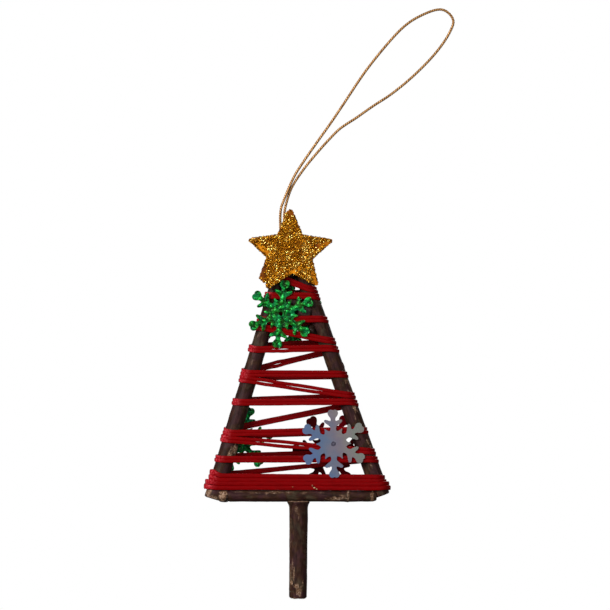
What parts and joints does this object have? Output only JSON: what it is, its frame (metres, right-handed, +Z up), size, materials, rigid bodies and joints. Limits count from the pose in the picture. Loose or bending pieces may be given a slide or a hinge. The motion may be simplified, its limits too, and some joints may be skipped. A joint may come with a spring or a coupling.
{
  "type": "christmas tree twig ornament",
  "caption": "Christmas tree hanging ornament: a twig frame on a twig trunk, wound with doubled red cord, with glitter foam stars, snowflake sequins and a gold cord loop.",
  "frame": {"origin": "the point under the top of the gold loop where a hook bears", "axes": "+Z up, along the trunk; -Y is the front, with the star and the snowflakes; +X to the right seen from the front"},
  "size_m": [0.0748, 0.01, 0.1768],
  "materials": {
    "bark": "thin dark brown bark, dull, with paler scars and sawn ends",
    "red_cord": "glossy deep red cord",
    "gold_glitter": "craft foam covered with gold glitter",
    "green_foil": "embossed shiny green sequin film",
    "silver_foil": "satin holographic silver sequin film",
    "red_foil": "shiny dark red sequin film",
    "gold_thread": "twisted cord with gold metallic thread"
  },
  "bodies": {
    "root": {"twig_left": "bark", "twig_right": "bark", "twig_base": "bark", "trunk_twig": "bark", "winding_strand_upper": "red_cord", "winding_strand_lower": "red_cord", "star_front": "gold_glitter", "star_rear": "gold_glitter", "snowflake_green_front": "green_foil", "snowflake_green_rear_upper": "green_foil", "snowflake_green_rear_lower": "green_foil", "snowflake_silver_front": "silver_foil", "snowflake_red_rear": "red_foil", "hanging_loop": "gold_thread"}
  },
  "joints": []
}
